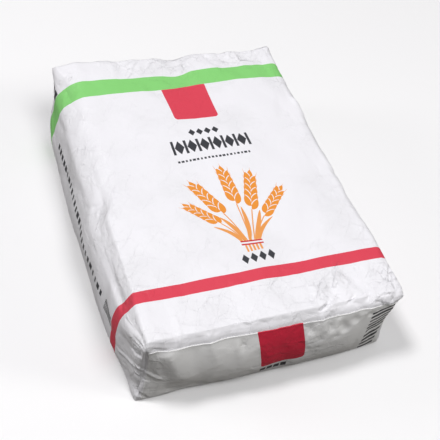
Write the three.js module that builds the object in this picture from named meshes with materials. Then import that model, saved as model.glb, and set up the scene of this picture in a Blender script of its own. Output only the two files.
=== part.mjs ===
// A 20 kg paper sack of flour with pasted block ends, lying on its back, shut and full.
// Millimetres. X runs across the sack, Y along it with the near end at -Y, and Z is up.
// The origin is on the floor, under the middle of the sack.
import * as THREE from "three";
import { mergeVertices } from "three/addons/utils/BufferGeometryUtils.js";

// Driving sizes of the filled sack
const WIDTH = 410; // between the two long folds of the top panel
const LENGTH = 584; // between the two end folds
const HEIGHT = 143; // of the fold corners above the floor
const CROWN = 4; // rise of the top panel's middle over its folds
const SIDE_BULGE = 25; // how far the flour pushes a side panel out
const END_BULGE = 22; // the same at the two ends, where the paper is doubled
const FLARE = 5; // how much further out the right fold runs at the near end

// The upright corners: waist is the pinch halfway up, the ears are how far paper stands out
const CORNERS = {
  nearLeft: { waist: 2, topEar: 6, footEar: 8 },
  nearRight: { waist: 11, topEar: 9, footEar: 1 },
  farLeft: { waist: 2, topEar: 9, footEar: 8 },
  farRight: { waist: 8, topEar: 9, footEar: 7 },
};
const EAR_LEAN = 0.7; // of an ear across the sack, for each millimetre along it

// Powers that say how a form dies away from an edge or a corner
const FADE = { side: 3, sideEnd: 6, end: 5, endSide: 4, waist: 10, ear: 22, earHeight: 4, swell: 6 };

// Upright profiles: fullness at the floor, how much is added halfway up, and the power that
// draws the paper in towards the top fold, which is higher in the near half of the left side
const PROFILE = {
  side: { foot: 0.62, belly: 1.6, top: 2 },
  nearLeft: { foot: 0.62, belly: 1.6, top: 4.5 },
  end: { foot: 0.26, belly: 2.75, top: 5 },
};

// Depth of the rounding at each fold, across (x), along (y) and up (z)
const FOLD = {
  left: { x: 36, z: 34 }, // the soft shoulder
  leftNear: { x: 7, z: 34 }, // the same fold in the near half, where it is a steep facet
  right: { x: 11, z: 12 }, // the crisp one
  floor: { x: 22, z: 20 },
  end: { x: 6, y: 7, z: 12 },
  endFloor: { x: 7, y: 9, z: 10 },
};

// Shares of a half size between which one fold passes into another
const BLEND = {
  leftToRight: [-0.2, 0.2],
  floorToTop: [-0.3, 0.3],
  longToEnd: [0.78, 0.97],
  leftToNear: [0.02, 0.2],
};
const TOP_SHARE = [0.55, 1]; // of the height, over which the swells and the crown come in
const FLARE_SHARE = [0.2, 0.9]; // of the half length, over which the flare comes in

// Glued cover sheets on the two ends: thickness, and margins in grid steps
const SHEET = { thickness: 0.6, gap: 0.4, side: 1, top: 2, bottom: 1 };

// Grid steps over the width, the length and the height
const STEPS = { x: 32, y: 42, z: 12 };
const EDGE_CROWDING = 0.55; // 0 spaces the steps evenly, 1 crowds them to the folds

// Wide, low swells of the paper over the flour: height, wavelengths and phase
const SWELLS = [
  { height: 1.5, x: 235, y: 310, phase: 0.6 },
  { height: 1.0, x: -150, y: 190, phase: 2.1 },
  { height: 0.7, x: 95, y: -140, phase: 4.0 },
];

// Dents pressed towards the sack's core, and swollen places with a negative depth:
// centre, half sizes and depth
const CORE_INSET = { x: 60, y: 90 }; // the core's ends, in from the sack's folds
const DENTS = [
  { at: [-207, -34, 122], size: [24, 26, 30], depth: 3.5 }, // pinch in the left shoulder
  { at: [-214, -255, 62], size: [30, 30, 46], depth: 5 }, // tuck in the left side
  { at: [150, -270, 146], size: [34, 30, 24], depth: 4 }, // crumple by the near right corner
  { at: [8, 286, 147], size: [32, 62, 28], depth: 3.5 }, // valley across the far fold
  { at: [2, 240, 152], size: [46, 70, 30], depth: 3 }, // where that valley runs out
  { at: [204, 60, 140], size: [26, 80, 30], depth: 2 }, // sag of the right fold
  { at: [200, 215, 146], size: [44, 76, 34], depth: 3 }, // a second sag, further along
  { at: [-180, 292, 146], size: [150, 70, 50], depth: -6 }, // the far fold's left half stands up
  { at: [-190, -292, 0], size: [62, 40, 30], depth: -6 }, // the near foot's left end spreads
  { at: [-224, 236, 70], size: [40, 80, 80], depth: -5 }, // the left side is fuller at the far end
  { at: [-211, 297, 140], size: [26, 26, 40], depth: 3 }, // the far left corner is tucked in
  { at: [-60, 290, 146], size: [80, 50, 40], depth: -3.5 }, // the far fold stands up by the valley
  { at: [212, -296, 126], size: [26, 22, 26], depth: 5 }, // tuck under the near right corner
  { at: [216, -215, 138], size: [30, 80, 40], depth: -4 }, // the right fold stands out there
  { at: [-209, -240, 144], size: [34, 50, 36], depth: -5 }, // so does the left one
];

const half = new THREE.Vector3(WIDTH / 2, LENGTH / 2, HEIGHT / 2);
const mix = THREE.MathUtils.lerp;
const clamp = THREE.MathUtils.clamp;
const ramp = ([from, to], value) => THREE.MathUtils.smoothstep(value, from, to);

// A signed power, so that a form is the same on both sides of the middle
const power = (value, exponent) => Math.sign(value) * Math.abs(value) ** exponent;

// How full a panel is at a height given as a share of the sack's
const fullness = ({ foot, belly, top }, t) => (1 - t ** top) * (foot + belly * t * (1 - t));

function cornerOf(a, b) {
  if (b < 0) return a < 0 ? CORNERS.nearLeft : CORNERS.nearRight;
  return a < 0 ? CORNERS.farLeft : CORNERS.farRight;
}

// 1 in the near half of the left side, past the pinch in its shoulder
const nearHalf = (a, b) => (a < 0 ? ramp(BLEND.leftToNear, -b) : 0);

// Rounding depths at a point of the unit box
function foldDepths(a, b, c) {
  const leftness = ramp(BLEND.leftToRight, -a);
  const lowness = ramp(BLEND.floorToTop, -c);
  const endness = ramp(BLEND.longToEnd, Math.abs(b));
  const nearness = nearHalf(a, b);
  const leftX = mix(FOLD.left.x, FOLD.leftNear.x, nearness);
  const leftZ = mix(FOLD.left.z, FOLD.leftNear.z, nearness);
  const longX = mix(mix(FOLD.right.x, leftX, leftness), FOLD.floor.x, lowness);
  const longZ = mix(mix(FOLD.right.z, leftZ, leftness), FOLD.floor.z, lowness);
  return new THREE.Vector3(
    mix(longX, mix(FOLD.end.x, FOLD.endFloor.x, lowness), endness),
    mix(FOLD.end.y, FOLD.endFloor.y, lowness),
    mix(longZ, mix(FOLD.end.z, FOLD.endFloor.z, lowness), endness),
  );
}

// The box with its folds rounded, centred on its own middle
function roundedBox(a, b, c) {
  const depth = foldDepths(a, b, c);
  const flat = new THREE.Vector3(a, b, c).multiply(half);
  const inner = half.clone().sub(depth);
  const core = flat.clone().clamp(inner.clone().negate(), inner);
  const out = flat.sub(core).divide(depth).normalize();
  return core.add(out.multiply(depth));
}

function swellAt(x, y) {
  let height = 0;
  for (const swell of SWELLS) {
    const turn = 2 * Math.PI * (x / swell.x + y / swell.y) + swell.phase;
    height += swell.height * Math.sin(turn);
  }
  return height;
}

function pressDents(p) {
  for (const dent of DENTS) {
    const [dx, dy, dz] = dent.at.map((v, i) => (p.getComponent(i) - v) / dent.size[i]);
    const distance = Math.hypot(dx, dy, dz);
    if (distance >= 1) continue;
    const core = new THREE.Vector3(
      clamp(p.x, CORE_INSET.x - half.x, half.x - CORE_INSET.x),
      clamp(p.y, CORE_INSET.y - half.y, half.y - CORE_INSET.y),
      half.z,
    );
    const inward = core.sub(p).normalize();
    p.addScaledVector(inward, dent.depth * (1 - distance ** 2) ** 2);
  }
}

// Where a point of the unit box's surface lies on the filled sack
function skin(a, b, c) {
  const p = roundedBox(a, b, c);
  const t = (p.z + half.z) / HEIGHT;
  const corner = cornerOf(a, b);

  const full = mix(fullness(PROFILE.side, t), fullness(PROFILE.nearLeft, t), nearHalf(a, b));
  const sideBulge = SIDE_BULGE * full * (1 - Math.abs(b) ** FADE.sideEnd);
  const waist = corner.waist * Math.sin(Math.PI * t) * Math.abs(b) ** FADE.waist;
  p.x += power(p.x / half.x, FADE.side) * (sideBulge - waist);
  p.x += FLARE * Math.max(a, 0) * ramp(FLARE_SHARE, -b);

  const endBulge = END_BULGE * fullness(PROFILE.end, t) * (1 - Math.abs(a) ** FADE.endSide);
  p.y += power(p.y / half.y, FADE.end) * endBulge;

  const earSize = c > 0 ? corner.topEar : corner.footEar;
  const ear = earSize * Math.abs(a * b) ** FADE.ear * Math.abs(2 * t - 1) ** FADE.earHeight;
  p.x += Math.sign(a) * ear * EAR_LEAN;
  p.y += Math.sign(b) * ear;

  const crown = CROWN * (1 - a * a) * (1 - b * b);
  const inland = (1 - Math.abs(a) ** FADE.swell) * (1 - Math.abs(b) ** FADE.swell);
  p.z += half.z + ramp(TOP_SHARE, t) * (crown + swellAt(p.x, p.y) * inland);

  pressDents(p);
  p.z = Math.max(p.z, 0);
  return p;
}

// Grid position along one direction, crowded towards both ends
const crowd = (v) => mix(v, Math.sin((Math.PI / 2) * v), EDGE_CROWDING);
const gridAt = (index, steps) => crowd((2 * index) / steps - 1);

function paperMesh(name, color, geometry) {
  const material = new THREE.MeshStandardMaterial({ color, roughness: 0.55, metalness: 0 });
  const mesh = new THREE.Mesh(geometry, material);
  mesh.name = name;
  return mesh;
}

function sackBody() {
  const box = new THREE.BoxGeometry(2, 2, 2, STEPS.x, STEPS.y, STEPS.z);
  box.deleteAttribute("normal");
  box.deleteAttribute("uv");
  const body = mergeVertices(box, 1e-5);
  const position = body.getAttribute("position");
  for (let i = 0; i < position.count; i++) {
    const unit = [position.getX(i), position.getY(i), position.getZ(i)].map(crowd);
    const p = skin(...unit);
    position.setXYZ(i, p.x, p.y, p.z);
  }
  return paperMesh("sack_body", 0xf4f4f6, body);
}

// A sheet of cover paper glued flat on one end: facing is -1 for the near end and 1 for the far one
function endSheet(name, facing) {
  const columns = STEPS.x - 2 * SHEET.side;
  const rows = STEPS.z - SHEET.top - SHEET.bottom;
  const points = [];
  for (const lift of [SHEET.gap, SHEET.gap + SHEET.thickness])
    for (let k = 0; k <= rows; k++)
      for (let i = 0; i <= columns; i++) {
        const across = gridAt(i + SHEET.side, STEPS.x);
        const up = gridAt(k + SHEET.bottom, STEPS.z);
        points.push(skin(across, facing, up).add(new THREE.Vector3(0, facing * lift, 0)));
      }

  const layer = (columns + 1) * (rows + 1);
  const inner = (i, k) => k * (columns + 1) + i;
  const outer = (i, k) => layer + inner(i, k);
  const index = [];
  // Each quad is split along the same diagonal as the sack's own one under it
  const quad = (p, q, r, s) => {
    if (facing < 0) index.push(p, q, r, p, r, s);
    else index.push(p, s, q, q, s, r);
  };
  for (let k = 0; k < rows; k++)
    for (let i = 0; i < columns; i++) {
      quad(outer(i, k), outer(i + 1, k), outer(i + 1, k + 1), outer(i, k + 1));
      quad(inner(i, k), inner(i, k + 1), inner(i + 1, k + 1), inner(i + 1, k));
    }
  for (let i = 0; i < columns; i++) {
    quad(inner(i, 0), inner(i + 1, 0), outer(i + 1, 0), outer(i, 0));
    quad(inner(i + 1, rows), inner(i, rows), outer(i, rows), outer(i + 1, rows));
  }
  for (let k = 0; k < rows; k++) {
    quad(inner(0, k + 1), inner(0, k), outer(0, k), outer(0, k + 1));
    quad(inner(columns, k), inner(columns, k + 1), outer(columns, k + 1), outer(columns, k));
  }
  const geometry = new THREE.BufferGeometry().setFromPoints(points);
  geometry.setIndex(index);
  return paperMesh(name, 0xe9e9e6, geometry);
}

const sack = new THREE.Group();
sack.add(sackBody());
sack.add(endSheet("near_end_sheet", -1));
sack.add(endSheet("far_end_sheet", 1));
export default sack;
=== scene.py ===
# A filled paper sack of flour, lying on its back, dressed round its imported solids.
import math

import bpy
import numpy as np
from mathutils import Matrix, Vector
from mathutils.bvhtree import BVHTree
from mathutils.geometry import delaunay_2d_cdt


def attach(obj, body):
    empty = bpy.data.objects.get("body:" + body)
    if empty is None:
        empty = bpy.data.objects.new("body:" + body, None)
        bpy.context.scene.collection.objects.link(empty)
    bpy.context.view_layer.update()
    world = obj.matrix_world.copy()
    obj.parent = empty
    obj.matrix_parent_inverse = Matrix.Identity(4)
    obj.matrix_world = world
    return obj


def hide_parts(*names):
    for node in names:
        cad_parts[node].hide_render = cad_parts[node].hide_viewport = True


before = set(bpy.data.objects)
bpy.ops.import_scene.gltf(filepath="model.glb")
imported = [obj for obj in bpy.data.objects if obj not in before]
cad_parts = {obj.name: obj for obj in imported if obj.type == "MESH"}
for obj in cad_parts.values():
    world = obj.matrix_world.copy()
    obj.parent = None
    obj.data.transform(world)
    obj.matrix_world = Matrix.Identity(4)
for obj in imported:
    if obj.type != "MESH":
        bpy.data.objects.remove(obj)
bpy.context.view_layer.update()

mm = 0.001
scene = bpy.context.scene


def addObject(name, data):
    thing = bpy.data.objects.new(name, data)
    scene.collection.objects.link(thing)
    return thing


def aim(thing, place, toward, roll=0.0):
    turn = toward.to_track_quat("-Z", "Y").to_matrix() @ Matrix.Rotation(roll, 3, "Z")
    thing.matrix_world = Matrix.Translation(place) @ turn.to_4x4()


# Camera

cameraView = {
    "target": (3, -44, 71.5),  # where the lens axis meets the sack, in mm
    "azimuth": -29.46,
    "elevation": 49.29,
    "roll": 13.72,
    "distance": 1477.5,
    "lens": 72.16,
    "sensor": 36,
}


def placeCamera(view):
    around, above = math.radians(view["azimuth"]), math.radians(view["elevation"])
    back = Vector((
        math.sin(around) * math.cos(above),
        -math.cos(around) * math.cos(above),
        math.sin(above),
    ))
    data = bpy.data.cameras.new("camera")
    data.sensor_width = view["sensor"]
    data.lens = view["lens"]
    camera = addObject("camera", data)
    place = (Vector(view["target"]) + back * view["distance"]) * mm
    aim(camera, place, -back, math.radians(view["roll"]))
    scene.camera = camera


placeCamera(cameraView)
print("camera placed")

# Form of the sack, all in mm. X runs across it, Y along it, the near end is at -Y and Z is up.

sackForm = {
    "size": (410, 584, 143),  # between the folds
    "steps": (132, 192, 70),  # mesh cells over the width, the length and the height
    "crowding": (0.55, 0.55, 0.3),  # how far they crowd towards the folds in each direction
    "nearer": 0.18,  # how much finer they are at the near end than at the far one
    "crown": 4,
    "sideBulge": 25,
    "endBulge": 22,
    "flare": 5,
    "fullness": {"foot": 0.62, "belly": 1.6, "top": 2, "nearLeftTop": 4.5},
    "endFullness": {"foot": 0.26, "belly": 2.75, "top": 5},
    "earLean": 0.7,
    "corners": {  # waist, ear at the top, ear at the foot
        "nearLeft": (2, 6, 8),
        "nearRight": (11, 9, 1),
        "farLeft": (2, 9, 8),
        "farRight": (8, 9, 7),
    },
    "folds": {  # depth of the rounding across, along and up
        "left": (36, 0, 34),
        "leftNear": (7, 0, 34),  # the same fold in the near half, where it is a steep facet
        "right": (11, 0, 12),
        "floor": (22, 0, 20),
        "end": (6, 7, 12),
        "endFloor": (7, 9, 10),
    },
    # 2 rounds a fold evenly, 1 makes a flat bevel of it
    "crispness": {"usual": 2, "shoulder": 1.75, "shoulderFacet": 1.12, "end": 1.25},
    "blends": {  # shares of a half size between which one fold passes into another
        "leftToRight": (-0.2, 0.2), "floorToTop": (-0.3, 0.3), "longToEnd": (0.78, 0.97),
        "leftToNear": (0.02, 0.2), "facetToEnd": (-0.97, -0.85),
    },
    "fades": {  # powers that say how a form dies away from an edge or a corner
        "side": 3, "sideEnd": 6, "end": 5, "endSide": 4, "waist": 10, "ear": 22, "earHeight": 4, "swell": 6,
    },
    "flareShare": (0.2, 0.9),  # of the half length, over which the flare comes in
    "topShare": (0.55, 1),  # of the height, over which the crown and the swells come in
    "swells": [  # height, wavelengths across and along, phase
        (1.5, 235, 310, 0.6),
        (1.0, -150, 190, 2.1),
        (0.7, 95, -140, 4.0),
    ],
    "coreInset": (60, 90),  # the dents are pressed towards a core that ends here, in from the folds
    "dents": [  # centre, half sizes, depth, which is negative where the paper stands proud
        ((-207, -34, 122), (24, 26, 30), 3.5),
        ((-214, -255, 62), (30, 30, 46), 5),
        ((150, -270, 146), (34, 30, 24), 4),
        ((8, 286, 147), (32, 62, 28), 3.5),
        ((2, 240, 152), (46, 70, 30), 3),
        ((204, 60, 140), (26, 80, 30), 2),
        ((200, 215, 146), (44, 76, 34), 3),
        ((-180, 292, 146), (150, 70, 50), -6),
        ((-190, -292, 0), (62, 40, 30), -6),
        ((-224, 236, 70), (40, 80, 80), -5),
        ((-211, 297, 140), (26, 26, 40), 3),
        ((-60, 290, 146), (80, 50, 40), -3.5),
        ((212, -296, 126), (26, 22, 26), 5),
        ((216, -215, 138), (30, 80, 40), -4),
        ((-209, -240, 144), (34, 50, 36), -5),
    ],
}
halfSize = np.array(sackForm["size"]) / 2


def mix(a, b, share):
    return a + (b - a) * share


def ramp(low, high, value):
    share = np.clip((value - low) / (high - low), 0, 1)
    return share * share * (3 - 2 * share)


def power(value, exponent):
    return np.sign(value) * np.abs(value) ** exponent


def fullnessAt(share, profile, top):
    # How full a panel is at a share of the sack's height
    return (1 - share**top) * (profile["foot"] + profile["belly"] * share * (1 - share))


def cornerValues(a, b):
    corners = sackForm["corners"]
    near = np.where((a < 0)[:, None], corners["nearLeft"], corners["nearRight"])
    far = np.where((a < 0)[:, None], corners["farLeft"], corners["farRight"])
    return np.where((b < 0)[:, None], near, far).T


def nearHalf(a, b):
    # 1 in the near half of the left side, past the pinch in its shoulder
    return ramp(*sackForm["blends"]["leftToNear"], -b) * (a < 0)


def roundedBox(a, b, c):
    folds = {name: np.array(depth, float) for name, depth in sackForm["folds"].items()}
    blends, crispness = sackForm["blends"], sackForm["crispness"]
    leftness = ramp(*blends["leftToRight"], -a)[:, None]
    lowness = ramp(*blends["floorToTop"], -c)[:, None]
    endness = ramp(*blends["longToEnd"], np.abs(b))[:, None]
    left = mix(folds["left"], folds["leftNear"], nearHalf(a, b)[:, None])
    long = mix(mix(folds["right"], left, leftness), folds["floor"], lowness)
    end = mix(folds["end"], folds["endFloor"], lowness)
    depth = mix(long, end, endness)
    depth[:, 1] = end[:, 1]
    flat = np.stack([a, b, c], 1) * halfSize
    core = np.clip(flat, depth - halfSize, halfSize - depth)
    out = (flat - core) / depth
    faceted = nearHalf(a, b) * ramp(*blends["facetToEnd"], b)
    shoulder = mix(crispness["shoulder"], crispness["shoulderFacet"], faceted)
    crisp = mix(crispness["usual"], shoulder[:, None], leftness * (1 - lowness))
    crisp = mix(crisp, crispness["end"], endness * (1 - lowness))
    length = (np.abs(out) ** crisp).sum(1, keepdims=True) ** (1 / crisp)
    return core + out / np.maximum(length, 1e-9) * depth


def sackSurface(a, b, c):
    # Where points of the unit box's surface lie on the filled sack
    fades = sackForm["fades"]
    p = roundedBox(a, b, c)
    share = (p[:, 2] + halfSize[2]) / sackForm["size"][2]
    waist, topEar, footEar = cornerValues(a, b)

    sideProfile = sackForm["fullness"]
    top = mix(sideProfile["top"], sideProfile["nearLeftTop"], nearHalf(a, b))
    bulge = sackForm["sideBulge"] * fullnessAt(share, sideProfile, top) * (1 - np.abs(b) ** fades["sideEnd"])
    pinch = waist * np.sin(np.pi * share) * np.abs(b) ** fades["waist"]
    p[:, 0] += power(p[:, 0] / halfSize[0], fades["side"]) * (bulge - pinch)
    p[:, 0] += sackForm["flare"] * np.maximum(a, 0) * ramp(*sackForm["flareShare"], -b)
    endProfile = sackForm["endFullness"]
    endFull = fullnessAt(share, endProfile, endProfile["top"])
    endBulge = sackForm["endBulge"] * endFull * (1 - a ** fades["endSide"])
    p[:, 1] += power(p[:, 1] / halfSize[1], fades["end"]) * endBulge

    ear = np.where(c > 0, topEar, footEar) * np.abs(a * b) ** fades["ear"]
    ear *= np.abs(2 * share - 1) ** fades["earHeight"]
    p[:, 0] += np.sign(a) * ear * sackForm["earLean"]
    p[:, 1] += np.sign(b) * ear

    swell = sackForm["crown"] * (1 - a**2) * (1 - b**2)
    for height, across, along, phase in sackForm["swells"]:
        turn = 2 * np.pi * (p[:, 0] / across + p[:, 1] / along) + phase
        swell += height * np.sin(turn) * (1 - a ** fades["swell"]) * (1 - b ** fades["swell"])
    p[:, 2] += halfSize[2] + ramp(*sackForm["topShare"], share) * swell

    inner = halfSize[:2] - sackForm["coreInset"]
    for centre, size, depth in sackForm["dents"]:
        far = np.linalg.norm((p - centre) / np.array(size), axis=1)
        core = np.clip(p[:, :2], -inner, inner)
        inward = np.column_stack([core, np.full(len(p), halfSize[2])]) - p
        inward /= np.linalg.norm(inward, axis=1, keepdims=True)
        p += inward * (depth * np.clip(1 - far**2, 0, 1) ** 2)[:, None]
    p[:, 2] = np.maximum(p[:, 2], 0)
    return p


# Mesh of the box's shell: one vertex for each lattice point, and a grid of them for each panel


def boxShell(steps):
    shape = tuple(n + 1 for n in steps)
    shell = np.ones(shape, bool)
    shell[1:-1, 1:-1, 1:-1] = False
    number = np.full(shape, -1)
    number[shell] = np.arange(shell.sum())
    unit = 2 * np.argwhere(shell) / np.array(steps) - 1
    crowded = mix(unit, np.sin(np.pi / 2 * unit), np.array(sackForm["crowding"]))
    crowded[:, 1] += sackForm["nearer"] * (crowded[:, 1] ** 2 - 1)
    panels = {
        "front": number[:, :, -1],
        "back": number[:, :, 0].T,
        "left": number[0].T,
        "right": number[-1],
        "near": number[:, 0],
        "far": number[:, -1].T,
    }
    return crowded, panels


def quadsOf(grid):
    corners = (grid[:-1, :-1], grid[1:, :-1], grid[1:, 1:], grid[:-1, 1:])
    return np.stack(corners, -1).reshape(-1, 4)


def unfolded(panel, flat):
    # A panel's place on the paper laid flat, with the middle of the front panel at 0, 0
    x, y, z = flat.T
    w, l, h = halfSize
    return {
        "front": (x, y),
        "left": (z - h - w, y),
        "right": (w + h - z, y),
        "near": (x, z - h - l),
        "far": (x, l + h - z),
        "back": (3 * w + 2 * h - x, y),
    }[panel]


def vertexNormals(points, quads):
    a, b, c, d = (points[quads[:, i]] for i in range(4))
    facing = np.cross(c - a, d - b)
    normals = np.zeros_like(points)
    for i in range(4):
        np.add.at(normals, quads[:, i], facing)
    return normals / np.linalg.norm(normals, axis=1, keepdims=True)


# Flat facets with sharp edges between them, as crumpled paper has

facetLayers = [
    {"where": "everywhere", "cell": (64, 88), "height": 2.6, "seed": 3},
    {"where": "everywhere", "cell": (27, 38), "height": 0.9, "seed": 17},
    {"where": "sides", "cell": (48, 74), "height": 3.4, "seed": 8},
    {"where": "ends", "cell": (20, 56), "height": 2.6, "seed": 21},
    {"where": "near right", "cell": (23, 31), "height": 3.2, "seed": 12},
    {"where": "near right", "cell": (10, 22), "height": 1.2, "seed": 31},
    {"where": "folds", "cell": (13, 16), "height": 0.6, "seed": 5},
]
facetJitter = 0.46  # of a cell, how far a corner of the facets strays
facetReach = {  # in mm on the flat paper: where the facets begin, and where they are at full height
    "sides": {"past": (-12, 25), "right": 0.4},  # the right side is tauter
    "ends": {"near": (125, 15), "front": (6, -10), "least": 0.45},
    "near right": {"at": (150, -275), "half": (105, 62), "fade": (1, 0.45)},
    "folds": {"near": (60, 8), "least": 0.2},
    "everywhere": {"near": (150, 30), "least": 0.45},
    "floor": (2, 24),
    "upright corners": {"within": 25, "below": 120, "fade": (25, -5), "calm": 0.8},
}
crumples = {  # how creased the paper is at most, and where
    "near right": {"most": 0.75, "at": (150, -270), "half": (110, 70), "fade": (1, 0.4)},
    "folds": {"least": 0.05, "most": 0.14, "near": (50, 6)},
    "sides": {"most": 0.09, "past": (0, 30)},
    "near strip": {"most": 0.14, "along": (-212, -235)},
    "far strip": {"most": 0.3, "along": (235, 262)},
    "strips off the front": {"share": 0.4, "past": 10},
}


def facets(chart, cell, seed):
    draw = np.random.default_rng(seed)
    low, high = chart.min(0) / cell - 2, chart.max(0) / cell + 2
    columns, rows = (np.arange(low[i], high[i]) for i in range(2))
    spots = np.stack(np.meshgrid(columns, rows, indexing="ij"), -1).reshape(-1, 2)
    spots += draw.uniform(-facetJitter, facetJitter, spots.shape)
    heights = draw.uniform(-1, 1, len(spots))
    flat, _, faces, origin, _, _ = delaunay_2d_cdt([Vector(s) for s in spots], [], [], 0, 1e-6)
    corners = [(v.x, v.y, heights[origin[i][0]]) for i, v in enumerate(flat)]
    sheet = BVHTree.FromPolygons(corners, faces)
    above, down = 9, Vector((0, 0, -1))
    return np.array([sheet.ray_cast(Vector((u, v, above)), down)[0].z for u, v in chart / cell])


def foldDistances(chart):
    # How far a place is past the front's folds, and how far from the nearest of them
    past = np.abs(chart) - halfSize[:2]
    return past.max(1), np.abs(past).min(1)


def ovalAt(chart, spot):
    away = (chart - spot["at"]) / spot["half"]
    return ramp(*spot["fade"], np.hypot(away[:, 0], away[:, 1]))


def facetStrength(where, chart, points):
    w, l, _ = halfSize
    reach = facetReach[where]
    past, toFold = foldDistances(chart)
    if where == "sides":
        strength = ramp(*reach["past"], past) * np.where(chart[:, 0] < 0, 1, reach["right"])
    elif where == "ends":
        onFront = ramp(*reach["front"], past)
        strength = ramp(*reach["near"], l - np.abs(chart[:, 1])) * mix(reach["least"], 1, onFront)
    elif where == "near right":
        strength = ovalAt(chart, reach)
    else:
        strength = mix(reach["least"], 1, ramp(*reach["near"], toFold))
    # The paper's cut corners don't join on the chart, so the facets die away there and at the floor
    corner = facetReach["upright corners"]
    inward = np.array([w, l]) - np.abs(points[:, :2])
    upright = (inward < corner["within"]).all(1) & (points[:, 2] < corner["below"])
    calm = np.where(upright, ramp(*corner["fade"], np.abs(inward.min(1))), 1)
    return strength * ramp(*facetReach["floor"], points[:, 2]) * mix(1, calm, corner["calm"])


def crumpleAt(chart):
    # 0 where the paper lies smooth, 1 where it is most creased
    past, toFold = foldDistances(chart)
    folds, sides, oval = crumples["folds"], crumples["sides"], crumples["near right"]
    worn = mix(folds["least"], folds["most"], ramp(*folds["near"], toFold))
    worn = np.maximum(worn, sides["most"] * ramp(*sides["past"], past))
    near, far, off = crumples["near strip"], crumples["far strip"], crumples["strips off the front"]
    strips = np.maximum(
        near["most"] * ramp(*near["along"], chart[:, 1]), far["most"] * ramp(*far["along"], chart[:, 1])
    )
    strips = strips * np.where(past > off["past"], off["share"], 1)
    return np.maximum(np.maximum(worn, strips), oval["most"] * ovalAt(chart, oval))


# Creases and drapes. A path runs over the sack, and what it raises stands out along the normal.

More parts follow.
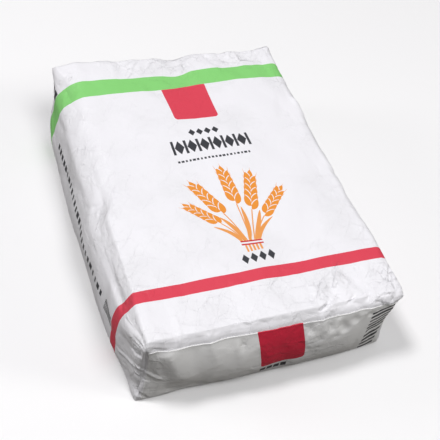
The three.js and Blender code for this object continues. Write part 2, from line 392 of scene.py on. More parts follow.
creases = {
    "near left corner": [
        # path, half width, height, share of the path over which it rises and falls
        ([(-226, -215, 40), (-216, -252, 55), (-207, -289, 77)], 3.1, 2.4, (0.4, 0)),
        ([(-207, -289, 77), (-184, -298, 65), (-158, -300, 48), (-120, -302, 38)], 3.5, 2.4, (0, 0.7)),
        ([(-203, -284, 137), (-192, -293, 131), (-172, -295, 126)], 3.5, -3.2, (0, 0.6)),
        ([(-222, -215, 76), (-211, -256, 104), (-207, -280, 118)], 4.2, -2.2, (0.5, 0.3)),
        ([(-219, -222, 84), (-209, -274, 104)], 22, -5, (0.4, 0.2)),
        ([(-176, -298, 130), (-160, -303, 96), (-152, -304, 70), (-160, -303, 36)], 34, 5, (0.15, 0.4)),
        ([(-214, -280, 34), (-204, -296, 18), (-188, -300, 3)], 3.5, -2.5, (0.3, 0.2)),
        ([(-204, -291, 134), (-205, -291, 80), (-208, -293, 22)], 2.1, 1.5, (0.05, 0.05)),
    ],
    "front fold": [
        ([(-149, -264, 146), (-151, -287, 144), (-156, -296, 124)], 2.8, 2.2, (0.5, 0.3)),
        ([(-143, -270, 146), (-146, -290, 142)], 2.8, -1.4, (0.5, 0.1)),
        ([(-99, -266, 146), (-104, -288, 143), (-111, -296, 128)], 2.8, 2.4, (0.5, 0.3)),
        ([(-93, -276, 146), (-97, -291, 141)], 2.8, -1.7, (0.5, 0.1)),
        ([(-50, -218, 147), (-60, -262, 146), (-66, -288, 143), (-60, -297, 128)], 3.5, -2.6, (0.5, 0.2)),
        ([(-58, -250, 146), (-74, -290, 143)], 3.5, 2.2, (0.5, 0.1)),
        ([(-58, -300, 124), (-52, -308, 84), (-43, -309, 52)], 3.5, -2.4, (0.1, 0.6)),
        ([(-68, -300, 124), (-62, -307, 90), (-52, -308, 56)], 4.2, 1.7, (0.1, 0.6)),
        ([(-24, -276, 147), (-22, -292, 142)], 2.8, 1.4, (0.6, 0.2)),
        ([(18, -272, 147), (22, -292, 142)], 2.8, -1.6, (0.6, 0.2)),
        ([(66, -216, 147), (61, -262, 146), (58, -292, 138)], 3.5, -5.8, (0.4, 0.1)),
        ([(103, -256, 147), (82, -284, 144), (64, -294, 138)], 3.5, -5.3, (0.4, 0.1)),
        ([(80, -246, 148), (74, -286, 146)], 5.6, 4.2, (0.5, 0.1)),
        ([(172, -222, 146), (156, -250, 146), (138, -272, 145), (110, -292, 136)], 3.5, -5.3, (0.3, 0.2)),
        ([(186, -232, 146), (158, -268, 146), (134, -290, 140)], 4.9, 4.2, (0.4, 0.2)),
        ([(119, -268, 146), (101, -284, 145)], 2.8, -3.5, (0.3, 0.2)),
        ([(163, -262, 146), (148, -292, 138)], 2.8, -3.8, (0.4, 0.1)),
        ([(166, -289, 143), (196, -291, 143)], 2.8, -3.5, (0.2, 0.1)),
        ([(172, -295, 131), (194, -296, 128)], 2.8, 3, (0.2, 0.2)),
        ([(196, -240, 145), (184, -262, 146), (190, -284, 146)], 3.5, -3, (0.3, 0.2)),
    ],
    "end pockets": [
        # slack pockets under the fold, whose lower lips catch the light
        ([(46, -298, 126), (53, -303, 109)], 7, -3.6, (0.7, 0)),
        ([(64, -306, 98), (69, -309, 89)], 5, -2.5, (0.6, 0)),
        ([(85, -300, 121), (88, -304, 104)], 6, -3.1, (0.7, 0)),
        ([(99, -300, 120), (112, -306, 98)], 8, -3.6, (0.7, 0)),
        ([(95, -306, 94), (99, -308, 86)], 5, -2.5, (0.6, 0)),
        ([(121, -299, 122), (130, -301, 110)], 7, -3, (0.7, 0)),
        ([(150, -298, 120), (156, -299, 112)], 5, -2.2, (0.6, 0)),
        # a drape between two of them
        ([(66, -292, 138), (71, -300, 120), (77, -307, 99)], 4, 2.6, (0.2, 0.2)),
    ],
    "left side": [
        ([(-218, -1, 104), (-204, -19, 122), (-193, -18, 136)], 4, -3, (0.2, 0.1)),
        ([(-204, -24, 122), (-212, -62, 108), (-217, -98, 96)], 3.4, 1.8, (0.1, 0.5)),
    ],
    "far edge": [
        ([(68, 286, 146), (80, 262, 147), (98, 278, 147)], 7, -2.6, (0.2, 0.2)),
        ([(80, 262, 147), (84, 238, 147)], 7, -2, (0.1, 0.8)),
        ([(-142, 290, 143), (-122, 270, 146)], 6, -2, (0.3, 0.4)),
        ([(-6, 286, 143), (14, 262, 146), (40, 256, 147)], 7, -2.4, (0.3, 0.4)),
        ([(204, 288, 143), (198, 262, 142)], 5, -2.4, (0.2, 0.4)),
    ],
    "right fold": [
        ([(170, 90, 147), (201, 84, 142), (212, 82, 120)], 6, -1.8, (0.5, 0.4)),
        ([(192, 160, 145), (205, 128, 140), (206, 96, 138)], 9, 3.2, (0.3, 0.3)),
        ([(190, -10, 146), (203, -32, 140), (212, -34, 118)], 9, -2.2, (0.5, 0.4)),
        ([(89, -29, 149), (128, -26, 149)], 5, -1.1, (0.4, 0.5)),
    ],
}
pleats = {
    "count": 5,
    "from": (-212, -250, 122),
    "step": (-1.6, -1, -8.5),  # from where one pleat starts to where the next does
    "to": (-205, -288, 134),
    "toStep": (-0.3, -0.3, -5.6),
    "halfWidth": 2.7,
    "height": -5.2,
    "fades": (0.5, 0.05),
}
crest = {"crease": 1.3, "pocket": 0.7}  # powers: above 1 a sharp crest, under 1 a round one


def alongPath(points, path):
    path = np.array(path, float)
    strides = np.diff(path, axis=0)
    lengths = np.linalg.norm(strides, axis=1)
    nearest, share, done = np.full(len(points), np.inf), np.zeros(len(points)), 0.0
    for start, stride, length in zip(path, strides, lengths):
        part = np.clip((points - start) @ stride / length**2, 0, 1)
        away = np.linalg.norm(points - start - part[:, None] * stride, axis=1)
        closer = away < nearest
        nearest[closer] = away[closer]
        share[closer] = (done + part[closer] * length) / lengths.sum()
        done += length
    return nearest, share


def raiseCrease(points, path, halfWidth, height, fades, edge):
    away, share = alongPath(points, path)
    rounded = np.sqrt(away**2 + 1) - 1  # keeps the crest from breaking up between cells
    profile = np.clip(1 - rounded / halfWidth, 0, 1) ** edge
    start = ramp(0, fades[0], share) if fades[0] else 1
    end = ramp(0, fades[1], 1 - share) if fades[1] else 1
    return height * profile * start * end


def pleatPaths():
    for i in range(pleats["count"]):
        start = np.array(pleats["from"]) + i * np.array(pleats["step"])
        end = np.array(pleats["to"]) + i * np.array(pleats["toStep"])
        yield [start, end], pleats["halfWidth"], pleats["height"], pleats["fades"]


def makeSackPoints():
    unit, panels = boxShell(sackForm["steps"])
    points = sackSurface(*unit.T)
    quads = np.concatenate([quadsOf(grid) for grid in panels.values()])
    normals = vertexNormals(points, quads)

    chart = np.zeros((len(points), 2))
    for panel in ("near", "far", "left", "right", "front"):
        at = panels[panel].ravel()
        chart[at] = np.stack(unfolded(panel, unit[at] * halfSize), 1)
    shown = unit[:, 2] > -1
    relief = np.zeros(len(points))
    for layer in facetLayers:
        lift = facets(chart[shown], np.array(layer["cell"]), layer["seed"])
        strength = facetStrength(layer["where"], chart[shown], points[shown])
        relief[shown] += layer["height"] * lift * strength
    points = points + normals * relief[:, None]

    normals = vertexNormals(points, quads)
    relief = np.zeros(len(points))
    for place, paths in creases.items():
        edge = crest["pocket" if place == "end pockets" else "crease"]
        for path in paths:
            relief += raiseCrease(points, *path, edge)
    for path in pleatPaths():
        relief += raiseCrease(points, *path, crest["crease"])
    points = points + normals * relief[:, None]
    points[:, 2] = np.maximum(points[:, 2], 0)
    return unit, panels, points, crumpleAt(chart)


unit, panels, sackPoints, crumple = makeSackPoints()
print("sack shaped:", len(sackPoints), "points")


def addPiece(name, mesh, materials, replaced):
    piece = addObject(name, mesh)
    for material in materials:
        mesh.materials.append(material)
    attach(piece, "root")
    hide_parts(replaced)


def meshFrom(name, points, faces, flatPlaces, crumpled):
    mesh = bpy.data.meshes.new(name)
    mesh.from_pydata((points * mm).tolist(), [], faces.tolist())
    layer = mesh.uv_layers.new(name="paper")
    layer.uv.foreach_set("vector", (flatPlaces * mm).astype(np.float32).ravel())
    attribute = mesh.attributes.new("crumple", "FLOAT", "POINT")
    attribute.data.foreach_set("value", crumpled.astype(np.float32))
    mesh.shade_smooth()
    return mesh


# Shader nodes


def addNode(tree, kind, given=None, **settings):
    node = tree.nodes.new(kind)
    for name, value in settings.items():
        setattr(node, name, value)
    for name, value in (given or {}).items():
        if isinstance(value, bpy.types.NodeSocket):
            tree.links.new(value, node.inputs[name])
        else:
            node.inputs[name].default_value = value
    return node


def calc(tree, operation, *values):
    return addNode(tree, "ShaderNodeMath", dict(enumerate(values)), operation=operation).outputs[0]


def plus(tree, a, b):
    return calc(tree, "ADD", a, b)


def minus(tree, a, b):
    return calc(tree, "SUBTRACT", a, b)


def times(tree, a, b):
    return calc(tree, "MULTIPLY", a, b)


def calcVector(tree, operation, *values):
    node = addNode(tree, "ShaderNodeVectorMath", dict(enumerate(values)), operation=operation)
    return node.outputs["Value" if operation in ("LENGTH", "DOT_PRODUCT") else "Vector"]


def between(tree, value, low, high):
    # 0 at low and 1 at high, with a soft passage
    given = {"Value": value, "From Min": low, "From Max": high}
    return addNode(tree, "ShaderNodeMapRange", given, interpolation_type="SMOOTHSTEP").outputs["Result"]


inkEdge = 0.35 * mm  # softness of a printed edge
lozengeSlant = 0.7  # turns how far a place is outside a diamond into a distance


def inkWithin(tree, gap):
    # Ink where the gap to a shape's outline is negative
    return between(tree, gap, inkEdge, -inkEdge)


def inSpan(tree, value, last):
    # 1 where the value lies between 0 and last
    return times(tree, calc(tree, "GREATER_THAN", value, 0.0), calc(tree, "LESS_THAN", value, last))


def split(tree, vector):
    return addNode(tree, "ShaderNodeSeparateXYZ", {"Vector": vector}).outputs


def join(tree, x, y):
    return addNode(tree, "ShaderNodeCombineXYZ", {"X": x, "Y": y}).outputs["Vector"]


def turned(tree, vector, angle):
    given = {"Vector": vector, "Angle": angle}
    return addNode(tree, "ShaderNodeVectorRotate", given, rotation_type="Z_AXIS").outputs["Vector"]


def fromBase(group, given):
    # Where a point is, seen along the shape's own direction
    return turned(group, calcVector(group, "SUBTRACT", given["Point"], given["Base"]), given["Angle"])


def blend(tree, share, first, second, kind="RGBA"):
    # A Mix node numbers its inputs and outputs by the kind of value
    at, made = {"FLOAT": (2, 0), "RGBA": (6, 2)}[kind]
    given = {0: share, at: first, at + 1: second}
    return addNode(tree, "ShaderNodeMix", given, data_type=kind).outputs[made]


def newGroup(name, given, made):
    # given has each input with its first value, and made the names of the outputs
    group = bpy.data.node_groups.new(name, "ShaderNodeTree")
    kinds = {1: "NodeSocketFloat", 3: "NodeSocketVector", 4: "NodeSocketColor"}
    for label, value in given.items():
        kind = kinds[np.size(value)]
        group.interface.new_socket(name=label, in_out="INPUT", socket_type=kind).default_value = value
    for label in made:
        kind = "NodeSocketColor" if label == "Color" else "NodeSocketFloat"
        group.interface.new_socket(name=label, in_out="OUTPUT", socket_type=kind)
    return group, group.nodes.new("NodeGroupInput").outputs, group.nodes.new("NodeGroupOutput").inputs


def placeGroup(tree, group, given):
    return addNode(tree, "ShaderNodeGroup", given, node_tree=group).outputs


def makePrintedField():
    # A rounded rectangle of ink
    group, given, made = newGroup("printedField", {
        "Point": (0, 0, 0), "Center": (0, 0, 0), "Half Size": (0.01, 0.01, 0), "Corner": 0.001,
    }, ["Mask"])
    away = calcVector(group, "ABSOLUTE", calcVector(group, "SUBTRACT", given["Point"], given["Center"]))
    corner = join(group, given["Corner"], given["Corner"])
    over = calcVector(group, "ADD", calcVector(group, "SUBTRACT", away, given["Half Size"]), corner)
    outside = calcVector(group, "LENGTH", calcVector(group, "MAXIMUM", over, (0, 0, 0)))
    sides = split(group, over)
    inside = calc(group, "MINIMUM", calc(group, "MAXIMUM", sides["X"], sides["Y"]), 0.0)
    gap = minus(group, plus(group, outside, inside), given["Corner"])
    group.links.new(inkWithin(group, gap), made["Mask"])
    return group


def makeMarkRow():
    # A row of equal marks along X: Lozenge goes from 0, upright bars, to 1, diamonds
    group, given, made = newGroup("markRow", {
        "Point": (0, 0, 0), "Start": (0, 0, 0), "Pitch": 0.01, "Count": 5, "Half Size": (0.004, 0.01, 0),
        "Lozenge": 0, "Unevenness": 0,
    }, ["Mask"])
    place = split(group, calcVector(group, "SUBTRACT", given["Point"], given["Start"]))
    turns = calc(group, "DIVIDE", place["X"], given["Pitch"])
    cell = calc(group, "FLOOR", turns)
    local = times(group, minus(group, calc(group, "FRACT", turns), 0.5), given["Pitch"])
    size = split(group, given["Half Size"])
    luck = addNode(group, "ShaderNodeTexWhiteNoise", {"W": cell}, noise_dimensions="1D").outputs["Value"]
    shrink = minus(group, 1.0, times(group, luck, given["Unevenness"]))
    across = calc(group, "ABSOLUTE", local)
    up = calc(group, "ABSOLUTE", place["Y"])
    halfWide = times(group, size["X"], shrink)
    barGap = calc(group, "MAXIMUM", minus(group, across, halfWide), minus(group, up, size["Y"]))
    shareOut = plus(group, calc(group, "DIVIDE", across, halfWide), calc(group, "DIVIDE", up, size["Y"]))
    slanted = times(group, halfWide, lozengeSlant)
    lozengeGap = times(group, minus(group, shareOut, 1.0), slanted)
    gap = blend(group, given["Lozenge"], barGap, lozengeGap, "FLOAT")
    mask = times(group, inkWithin(group, gap), inSpan(group, turns, given["Count"]))
    group.links.new(mask, made["Mask"])
    return group


def makeGrain():
    # One teardrop shape pointing along Angle from Base, with the halo that keeps it off its neighbours
    group, given, made = newGroup("grainShape", {
        "Point": (0, 0, 0), "Base": (0, 0, 0), "Angle": 0, "Length": 0.02, "Half Width": 0.004, "Bend": 0,
        "Swell": 0.6, "Taper": 1.3, "Halo": 0.0008,
    }, ["Mask", "Clear"])
    place = split(group, fromBase(group, given))
    along = calc(group, "DIVIDE", place["Y"], given["Length"])
    clipped = addNode(group, "ShaderNodeClamp", {"Value": along}).outputs["Result"]
    bend = times(group, given["Bend"], times(group, clipped, clipped))
    across = calc(group, "ABSOLUTE", minus(group, place["X"], bend))
    swell = calc(group, "POWER", clipped, given["Swell"])
    fall = calc(group, "POWER", minus(group, 1.0, clipped), given["Taper"])
    gap = minus(group, across, times(group, times(group, swell, fall), given["Half Width"]))
    inRange = inSpan(group, along, 1.0)
    for label, halo in (("Mask", 0.0), ("Clear", given["Halo"])):
        mask = inkWithin(group, minus(group, gap, halo))
        group.links.new(times(group, mask, inRange), made[label])
    return group


def grainShape(swell, taper, halfWidth):
    # The two exponents, and the width that makes the widest place twice halfWidth
    peak = swell / (swell + taper)
    widest = peak**swell * (1 - peak) ** taper
    return {"Swell": swell, "Taper": taper, "Half Width": halfWidth * mm / widest}


earForm = {
    "pitch": 13,  # from one pair of grains to the next
    "pairs": 5,
    "overlap": 3,  # pairs that reach any one height
    "angle": 38,
    "length": 23,
    "shrink": 0.04,  # from one pair to the next
    "inset": 0.4,  # of a grain's foot from the stalk
    "bend": -5,
    "clear": 1.5,  # white left round a grain
    "grain": grainShape(0.7, 0.85, 5.3),
    "awnLength": 28,
    "awnBend": -7.4,
    "awn": grainShape(0.1, 0.8, 1.0),
    "tipFrom": 4.6,  # pitches above the foot
    "tip": grainShape(0.7, 0.95, 5),
}


def makeWheatEar(grain):
    # Pairs of grains up a stalk, the lower ones over the upper ones, and one grain at the tip
    group, given, made = newGroup("wheatEar", {
        "Point": (0, 0, 0), "Base": (0, 0, 0), "Angle": 0, "Size": 1,
    }, ["Mask"])
    form = earForm
    pitch, slant = form["pitch"] * mm, math.radians(form["angle"])
    smaller = calc(group, "DIVIDE", 1.0, given["Size"])
    local = calcVector(group, "MULTIPLY", fromBase(group, given), join(group, smaller, smaller))
    place = split(group, local)
    leftSide = calc(group, "LESS_THAN", place["X"], 0.0)
    height = plus(group, place["Y"], times(group, leftSide, -pitch / 2))
    row = calc(group, "FLOOR", calc(group, "DIVIDE", height, pitch))
    mirrored = calc(group, "ABSOLUTE", place["X"])
    top = {"Point": local, "Base": (0, form["tipFrom"] * pitch, 0)}
    tip = placeGroup(group, grain, {**top, "Length": form["length"] * mm, **form["tip"]})
    awn = placeGroup(group, grain, {**top, "Length": form["awnLength"] * mm, **form["awn"]})
    drawn = calc(group, "MAXIMUM", tip["Mask"], awn["Mask"])
    for below in range(form["overlap"]):
        number = minus(group, row, float(below))
        offset = minus(group, height, times(group, number, pitch))
        length = minus(group, 1.0, times(group, number, form["shrink"]))
        there = join(group, mirrored, offset)
        foot = {"Point": there, "Base": (form["inset"] * mm, 0, 0), "Angle": slant}
        shape = placeGroup(group, grain, {
            **foot, "Length": times(group, length, form["length"] * mm), "Bend": form["bend"] * mm,
            "Halo": form["clear"] * mm, **form["grain"],
        })
        awn = placeGroup(group, grain, {
            **foot, "Length": form["awnLength"] * mm, "Bend": form["awnBend"] * mm, **form["awn"],
        })
        exists = inSpan(group, plus(group, number, 0.5), float(form["pairs"]))
        kept = minus(group, 1.0, times(group, shape["Clear"], exists))
        inked = times(group, calc(group, "MAXIMUM", shape["Mask"], awn["Mask"]), exists)
        drawn = calc(group, "MAXIMUM", times(group, drawn, kept), inked)
    group.links.new(drawn, made["Mask"])
    return group


def makePrintInk():
    # Lays ink over a colour, thinner where the paper is worn
    group, given, made = newGroup("printInk", {
        "Color": (1, 1, 1, 1), "Ink": (0, 0, 0, 1), "Mask": 0, "Wear": 0,
    }, ["Color"])
    share = times(group, given["Mask"], minus(group, 1.0, given["Wear"]))
    group.links.new(blend(group, share, given["Color"], given["Ink"]), made["Color"])
    return group


sackPaper = {
    "clouds": {"Scale": 11.0, "Detail": 4.0, "Roughness": 0.6},
    "fibres": {"Scale": 900.0, "Detail": 3.0},
    "fibreHeight": 0.04,  # mm
    "warp": {"Scale": 20.0, "Detail": 1.0},
    "warpReach": 4 * mm,  # how far it bends the facets' edges
    "facets": [(32.0, 0.4), (76.0, 0.3)],  # cells in a metre, and how steep they are
    # longer facets that run slantwise over the paper, as the creases by the near corners do
    "streaks": {"angle": 38, "squeeze": (1, 0.34, 1), "cells": 62.0, "tilt": 0.6},
    "rim": (0.12, 0.4),  # share of a cell over which its facet flattens, and what is left at its edge
    "creaseWidth": 0.04,
    "creased": (0.34, 0.6),  # the clouds between which the creased places come in
    "smudged": (0.42, 0.7),
    "wear": 0.1,
    "roughness": (0.38, 0.2),  # the least, and how much the clouds add
}


def makePaperFacets():
    # Flat facets, each with its own tilt, and the creases where they meet. Height is in mm.
    group, given, made = newGroup("paperFacets", {
        "Point": (0, 0, 0), "Cells": 40, "Tilt": 0.5,
    }, ["Height", "Crease"])
    spots = {"Vector": given["Point"], "Scale": given["Cells"]}
    cells = addNode(group, "ShaderNodeTexVoronoi", spots).outputs
    edges = addNode(group, "ShaderNodeTexVoronoi", spots, feature="DISTANCE_TO_EDGE").outputs["Distance"]
    offset = calcVector(group, "SUBTRACT", given["Point"], cells["Position"])
    lean = calcVector(group, "SUBTRACT", cells["Color"], (0.5, 0.5, 0.5))
    slope = times(group, calcVector(group, "DOT_PRODUCT", lean, offset), given["Tilt"])
    width, left = sackPaper["rim"]
    joined = plus(group, left, times(group, between(group, edges, 0.0, width), 1 - left))
    group.links.new(times(group, times(group, slope, 2 / mm), joined), made["Height"])
    group.links.new(between(group, edges, sackPaper["creaseWidth"], 0.0), made["Crease"])
    return group


def makePaperSurface(facetGroup):
    # White sack paper: faint mottling and smudges, facets where it is creased, and worn print there
    group, given, made = newGroup("sackPaper", {
        "Color": (0.9, 0.9, 0.92, 1), "Shade": (0.8, 0.8, 0.8, 1), "Crumple": 1, "Smudge": 0.3,
    }, ["Color", "Roughness", "Height", "Wear"])
    place = addNode(group, "ShaderNodeTexCoord").outputs["Object"]
    cloud, fibre, warp = (
        addNode(group, "ShaderNodeTexNoise", {"Vector": place, **sackPaper[name]}).outputs
        for name in ("clouds", "fibres", "warp")
    )
    warpStep = calcVector(group, "MULTIPLY", warp["Color"], (sackPaper["warpReach"],) * 3)
    bent = calcVector(group, "ADD", place, warpStep)
    facets = [placeGroup(group, facetGroup, {"Point": bent, "Cells": cells, "Tilt": tilt})
              for cells, tilt in sackPaper["facets"]]
    streaks = sackPaper["streaks"]
    slanting = turned(group, bent, math.radians(streaks["angle"]))
    facets.append(placeGroup(group, facetGroup, {
        "Point": calcVector(group, "MULTIPLY", slanting, streaks["squeeze"]),
        "Cells": streaks["cells"], "Tilt": streaks["tilt"],
    }))
    height = plus(group, facets[0]["Height"], facets[1]["Height"])
    height = plus(group, height, facets[2]["Height"])
    crease = calc(group, "MAXIMUM", facets[0]["Crease"], facets[1]["Crease"])
    patch = times(group, given["Crumple"], between(group, cloud["Fac"], *sackPaper["creased"]))
    height = plus(group, times(group, height, patch), times(group, fibre["Fac"], sackPaper["fibreHeight"]))
    group.links.new(height, made["Height"])
    group.links.new(times(group, times(group, crease, patch), sackPaper["wear"]), made["Wear"])
    smudge = times(group, between(group, cloud["Fac"], *sackPaper["smudged"]), given["Smudge"])
    group.links.new(blend(group, smudge, given["Color"], given["Shade"]), made["Color"])
    smoothest, added = sackPaper["roughness"]
    group.links.new(plus(group, smoothest, times(group, cloud["Fac"], added)), made["Roughness"])
    return group


fieldGroup, rowGroup, grainGroup = makePrintedField(), makeMarkRow(), makeGrain()
earGroup = makeWheatEar(grainGroup)
inkGroup, paperGroup = makePrintInk(), makePaperSurface(makePaperFacets())

inks = {
    "green": (0.262, 0.69, 0.2, 1),
    "red": (0.75, 0.062, 0.1, 1),
    "orange": (0.86, 0.31, 0.04, 1),
    "straw": (0.86, 0.35, 0.09, 1),
    "tie": (0.62, 0.03, 0.035, 1),
    "dark": (0.045, 0.047, 0.055, 1),
    "deepRed": (0.66, 0.02, 0.055, 1),
}
paperFinish = {
    "white": (0.9, 0.895, 0.925, 1),
    "shade": (0.78, 0.78, 0.795, 1),
    "cover": (0.86, 0.86, 0.85, 1),
    "specular": 0.4,
}


def newMaterial(name):
    material = bpy.data.materials.new(name)
    material.use_nodes = True
    tree = material.node_tree
    return material, tree, tree.nodes["Principled BSDF"]


def makePaper(name, color, smudge, printing=None):
    material, tree, shader = newMaterial(name)
    creased = addNode(tree, "ShaderNodeAttribute", attribute_name="crumple").outputs["Fac"]
    paper = placeGroup(tree, paperGroup, {
        "Color": color, "Shade": paperFinish["shade"], "Smudge": smudge, "Crumple": creased,
    })
    bump = addNode(tree, "ShaderNodeBump", {"Height": paper["Height"], "Distance": mm, "Strength": 1.0})
    tree.links.new(bump.outputs["Normal"], shader.inputs["Normal"])
    tree.links.new(paper["Roughness"], shader.inputs["Roughness"])
    shader.inputs["Specular IOR Level"].default_value = paperFinish["specular"]
    printed = paper["Color"]
    if printing:
        flat = addNode(tree, "ShaderNodeUVMap", uv_map="paper").outputs["UV"]
        printed = printing(tree, printed, paper["Wear"], flat)
    tree.links.new(printed, shader.inputs["Base Color"])
    return material


def printOn(tree, color, wear, ink, mask):
    given = {"Color": color, "Ink": inks[ink], "Mask": mask, "Wear": wear}
    return placeGroup(tree, inkGroup, given)["Color"]


def field(tree, flat, centre, half, corner=0.1):
    return placeGroup(tree, fieldGroup, {
        "Point": flat, "Center": (centre[0] * mm, centre[1] * mm, 0),
        "Half Size": (half[0] * mm, half[1] * mm, 1), "Corner": corner * mm,
    })["Mask"]


def row(tree, flat, start, pitch, count, half, lozenge=0.0, uneven=0.0):
    return placeGroup(tree, rowGroup, {
        "Point": flat, "Start": (start[0] * mm, start[1] * mm, 0), "Pitch": pitch * mm,
        "Count": float(count), "Half Size": (half[0] * mm, half[1] * mm, 0),
        "Lozenge": lozenge, "Unevenness": uneven,
    })["Mask"]


def either(tree, masks):
    whole = masks[0]
    for mask in masks[1:]:
        whole = calc(tree, "MAXIMUM", whole, mask)
    return whole


stripes = {"green": (225, 18), "red": (-211.5, 10.5)}  # middle and half width along the sack
allRound = 900  # half length of a stripe, so that it passes over both sides

frontPrint = {
    "tab": {"centre": (6.5, 168), "half": (40, 44), "corner": 7},
    "tabLimit": {"centre": (0, -100), "half": (allRound, 307)},  # all that lies below the green stripe
    "rows": [
        {"start": (-21, 92), "pitch": 14, "count": 4, "half": (6.2, 7.6), "lozenge": 1.0},
        {"start": (-56, 61.5), "pitch": 22.2, "count": 6, "half": (8.4, 14.6), "lozenge": 1.0},
        {"start": (-67, 61.5), "pitch": 22.2, "count": 7, "half": (2.3, 14.6)},
        {"start": (-58, 31), "pitch": 6.5, "count": 20, "half": (2.7, 2.2), "uneven": 0.5},
        {"start": (-21, -180), "pitch": 14, "count": 4, "half": (6, 9.4), "lozenge": 1.0},
    ],
}
sheaf = {
    "ties": [(7, -148), (7, -154)],
    "tieHalf": (17.5, 1.4),
    "tieCorner": 1,
    "tieSlope": 0.1,
    "ears": [  # where the stalk starts and ends, how far the ear leans to the left, and its size
        ((-3, -147), (-29, -106), 45, 0.84),
        ((2, -147), (-18, -88), 25, 1),
        ((8, -148), (9, -73), 1, 1),
        ((13, -148), (30, -88), -17, 1),
        ((18, -149), (45, -105), -44, 0.9),
    ],
    "blades": [  # start, tip and lean at the tip
        ((-7, -147), (-43, -111), 74),
        ((-1, -147), (-27, -94), 42),
        ((5, -148), (14, -79), 6),
        ((15, -148), (42, -92), -22),
        ((21, -149), (57, -110), -70),
    ],
    "stalk": grainShape(0.02, 0.02, 1.0),
    "blade": grainShape(0.45, 0.6, 3.8),
    "ends": {"start": (-7, -161), "pitch": 5.6, "count": 5, "half": (1.6, 6.5)},
}


def printStripes(tree, color, wear, flat):
    for ink, (middle, half) in stripes.items():
        color = printOn(tree, color, wear, ink, field(tree, flat, (0, middle), (allRound, half)))
    return color


def printSheaf(tree, color, wear, flat):
    def strand(start, end, lean, shape):
        # A curve from start to end that leans by the given angle where it ends
        chord = np.subtract(end, start)
        chordLean = math.atan2(-chord[0], chord[1])
        turn = math.radians(lean) - chordLean
        return placeGroup(tree, grainGroup, {
            "Point": flat, "Base": (start[0] * mm, start[1] * mm, 0), "Angle": turn - chordLean,
            "Length": math.hypot(*chord) * math.cos(turn) * mm,
            "Bend": -math.hypot(*chord) * math.sin(turn) * mm, **shape,
        })["Mask"]

    strands = [strand(*blade, sheaf["blade"]) for blade in sheaf["blades"]]
    strands += [strand(*ear[:3], sheaf["stalk"]) for ear in sheaf["ears"]]
    strands.append(row(tree, flat, **sheaf["ends"]))
    color = printOn(tree, color, wear, "straw", either(tree, strands))
    ears = [placeGroup(tree, earGroup, {
        "Point": flat, "Base": (foot[0] * mm, foot[1] * mm, 0), "Angle": -math.radians(lean), "Size": size,
    })["Mask"] for _, foot, lean, size in sheaf["ears"]]
    color = printOn(tree, color, wear, "orange", either(tree, ears))
    place = split(tree, flat)
    middle = sheaf["ties"][0][0] * mm
    rise = times(tree, minus(tree, place["X"], middle), sheaf["tieSlope"])
    level = join(tree, place["X"], plus(tree, place["Y"], rise))
    ties = [field(tree, level, tie, sheaf["tieHalf"], sheaf["tieCorner"]) for tie in sheaf["ties"]]
    return printOn(tree, color, wear, "tie", either(tree, ties))


def printFront(tree, color, wear, flat):
    color = printStripes(tree, color, wear, flat)
    tab = field(tree, flat, **frontPrint["tab"])
    below = field(tree, flat, **frontPrint["tabLimit"])
    color = printOn(tree, color, wear, "red", times(tree, tab, below))
    rows = [row(tree, flat, **marks) for marks in frontPrint["rows"]]
    color = printOn(tree, color, wear, "dark", either(tree, rows))
    return printSheaf(tree, color, wear, flat)


sidePrint = {
    "marks": {"start": (-150, -276), "pitch": 13, "count": 25, "half": (5, 6), "uneven": 0.6},
    "farBlock": {"start": (241, -234), "pitch": 18, "count": 3, "half": (6, 8)},
    "nearBlock": {"start": (-291, -180), "pitch": 4.2, "count": 6, "half": (1.6, 18), "uneven": 0.4},
}


def printSide(tree, color, wear, flat):
    color = printStripes(tree, color, wear, flat)
    # the side's print reads along the sack, so the flat place is turned a quarter
    place = split(tree, flat)
    quarter = join(tree, place["Y"], place["X"])
    masks = [row(tree, quarter, **sidePrint[name]) for name in ("marks", "farBlock")]
    masks.append(row(tree, flat, **sidePrint["nearBlock"]))
    return printOn(tree, color, wear, "dark", either(tree, masks))


endPrint = {
    "lean": 0.19,  # how far the print drifts to the right for each millimetre down
    "fold": -308,
    "panel": {"centre": (1, -341), "half": (36, 45), "corner": 7},
    "marks": {"start": (-36, -402), "pitch": 11.5, "count": 4, "half": (4.6, 8)},
    "bars": [  # their start is how far down and how far to the right
        {"start": (312, 182), "pitch": 8.6, "count": 6, "half": (2.7, 22), "uneven": 0.4},
        {"start": (366, 182), "pitch": 14, "count": 5, "half": (4.6, 22), "uneven": 0.4},
    ],
    "barSlope": 0.2,  # of a bar's right end above its left one
    "levelAt": 200,  # where a sloping bar is as far down as it says
    "barsRight": {"at": 203, "lean": 0.13},  # their right limit moves in further down
}


def printCover(tree, color, wear, flat):
    place = split(tree, flat)
    depth = minus(tree, endPrint["fold"] * mm, place["Y"])
    leaning = join(tree, minus(tree, place["X"], times(tree, depth, endPrint["lean"])), place["Y"])
    color = printOn(tree, color, wear, "deepRed", field(tree, leaning, **endPrint["panel"]))
    slope = endPrint["barSlope"]
    rise = plus(tree, times(tree, place["X"], slope), -slope * endPrint["levelAt"] * mm)
    down = join(tree, minus(tree, rise, place["Y"]), place["X"])
    bars = either(tree, [row(tree, down, **block) for block in endPrint["bars"]])
    limit = endPrint["barsRight"]
    room = minus(tree, limit["at"] * mm, times(tree, depth, limit["lean"]))
    bars = times(tree, bars, inkWithin(tree, minus(tree, place["X"], room)))
    marks = row(tree, leaning, **endPrint["marks"])
    return printOn(tree, color, wear, "dark", either(tree, [bars, marks]))


materials = {
    "front": makePaper("frontPaper", paperFinish["white"], 0.35, printFront),
    "side": makePaper("sidePaper", paperFinish["white"], 0.5, printSide),
    "plain": makePaper("plainPaper", paperFinish["white"], 0.5),
    "printedCover": makePaper("printedCover", paperFinish["cover"], 0.4, printCover),
    "plainCover": makePaper("plainCover", paperFinish["cover"], 0.4),
}
print("paper and print ready")


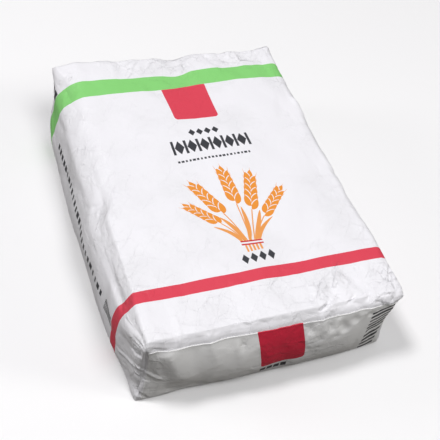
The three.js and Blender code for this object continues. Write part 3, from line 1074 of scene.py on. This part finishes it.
def makeSack():
    order = {"front": 0, "left": 1, "right": 1, "near": 2, "far": 2, "back": 2}
    faces, places, kinds = [], [], []
    for panel, grid in panels.items():
        quads = quadsOf(grid)
        faces.append(quads)
        corner = quads.ravel()
        places.append(np.stack(unfolded(panel, unit[corner] * halfSize), 1))
        kinds.append(np.full(len(quads), order[panel]))
    mesh = meshFrom("sackBody", sackPoints, np.concatenate(faces), np.concatenate(places), crumple)
    used = [materials["front"], materials["side"], materials["plain"]]
    addPiece("sackBody", mesh, used, "sack_body")
    mesh.polygons.foreach_set("material_index", np.concatenate(kinds))
    mesh.update()


coverSheet = {
    "reach": 199,  # to each side of the middle
    "foot": 4,
    "top": 127,
    "gap": 0.3,
    "thickness": 0.6,
    "lip": 0.8,  # how much thicker the top edge is
}


def makeCover(name, panel, replaced, material):
    # A thin sheet glued over one end, following every fold of the sack under it
    grid = panels[panel] if panel == "near" else panels[panel].T
    across = unit[grid[:, 0], 0] * halfSize[0]
    up = (unit[grid[0], 2] + 1) * halfSize[2]
    kept = (up > coverSheet["foot"]) & (up < coverSheet["top"])
    part = grid[np.abs(across) < coverSheet["reach"]][:, kept]
    facing = -1 if panel == "near" else 1
    at = part.ravel()
    thick = np.full(part.shape, coverSheet["thickness"])
    thick[:, -1] += coverSheet["lip"]
    lift = np.zeros((len(at), 3))
    lift[:, 1] = facing
    inner = sackPoints[at] + lift * coverSheet["gap"]
    outer = inner + lift * thick.reshape(-1, 1)
    number = np.arange(len(at)).reshape(part.shape)
    rim = np.concatenate([number[:, 0], number[-1, 1:], number[-2::-1, -1], number[0, -2:0:-1]])
    following = np.roll(rim, -1)
    count = len(at)
    front = quadsOf(number) + count
    back = quadsOf(number)[:, ::-1]
    edge = np.stack([rim, following, following + count, rim + count], 1)
    faces = np.concatenate([front, back, edge])
    if panel == "far":
        faces = faces[:, ::-1]
    flat = np.stack(unfolded(panel, unit[at] * halfSize), 1)
    places = np.concatenate([flat, flat])[faces.ravel()]
    mesh = meshFrom(name, np.concatenate([inner, outer]), faces, places, np.tile(crumple[at], 2))
    addPiece(name, mesh, [material], replaced)


makeSack()
makeCover("nearEndSheet", "near", "near_end_sheet", materials["printedCover"])
makeCover("farEndSheet", "far", "far_end_sheet", materials["plainCover"])
print("pieces made")

# Studio

studio = {
    "lamps": {
        "key": {"at": (-1.9, 0.7, 5.2), "size": 1.2, "power": 136, "color": (1.0, 0.985, 1.0)},
        "overhead": {"at": (0.8, -2.1, 5.2), "size": 2.2, "power": 100, "color": (1.0, 0.99, 1.0)},
        "fill": {"at": (4.1, -2.2, 2.9), "size": 1.4, "power": 50, "color": (1.0, 0.985, 0.95)},
        "leftFill": {"at": (-4.0, 1.6, 1.6), "size": 1.6, "power": 30, "color": (1.0, 0.99, 0.98)},
    },
    "skyAbove": (0.22, 0.222, 0.23, 1),
    "skyLow": (0.09, 0.088, 0.083, 1),
    "skyRise": 0.8,  # how far up the sky has its upper colour
    "floorReach": 60,  # metres
    "floorLevel": -0.2 * mm,
    "floorSeen": (0.95, 0.95, 0.95, 1),
    "floorBounce": (0.15, 0.142, 0.13, 1),
    "floorRoughness": 0.9,
}


def addLamp(name, lamp):
    data = bpy.data.lights.new(name, "AREA")
    data.shape = "DISK"
    data.size = lamp["size"]
    data.energy = lamp["power"]
    data.color = lamp["color"]
    place = Vector(lamp["at"])
    aim(addObject(name, data), place, -place)


def addFloor():
    mesh = bpy.data.meshes.new("floor")
    signs = [(-1, -1), (1, -1), (1, 1), (-1, 1)]
    corners = [(x * studio["floorReach"], y * studio["floorReach"], studio["floorLevel"]) for x, y in signs]
    mesh.from_pydata(corners, [], [(0, 1, 2, 3)])
    floor = addObject("floor", mesh)
    material, tree, shader = newMaterial("paleFloor")
    # pale to the camera, and a little darker as a reflector, so that the ends of the sack stay in shade
    seen = addNode(tree, "ShaderNodeLightPath").outputs["Is Camera Ray"]
    color = blend(tree, seen, studio["floorBounce"], studio["floorSeen"])
    tree.links.new(color, shader.inputs["Base Color"])
    shader.inputs["Roughness"].default_value = studio["floorRoughness"]
    mesh.materials.append(material)


def addSky():
    world = bpy.data.worlds.new("studio")
    world.use_nodes = True
    tree = world.node_tree
    height = split(tree, addNode(tree, "ShaderNodeTexCoord").outputs["Generated"])["Z"]
    risen = between(tree, height, 0.0, studio["skyRise"])
    sky = blend(tree, risen, studio["skyLow"], studio["skyAbove"])
    tree.links.new(sky, tree.nodes["Background"].inputs["Color"])
    scene.world = world


for name, lamp in studio["lamps"].items():
    addLamp(name, lamp)
addFloor()
addSky()
scene.view_settings.view_transform = "Standard"
print("studio lit")
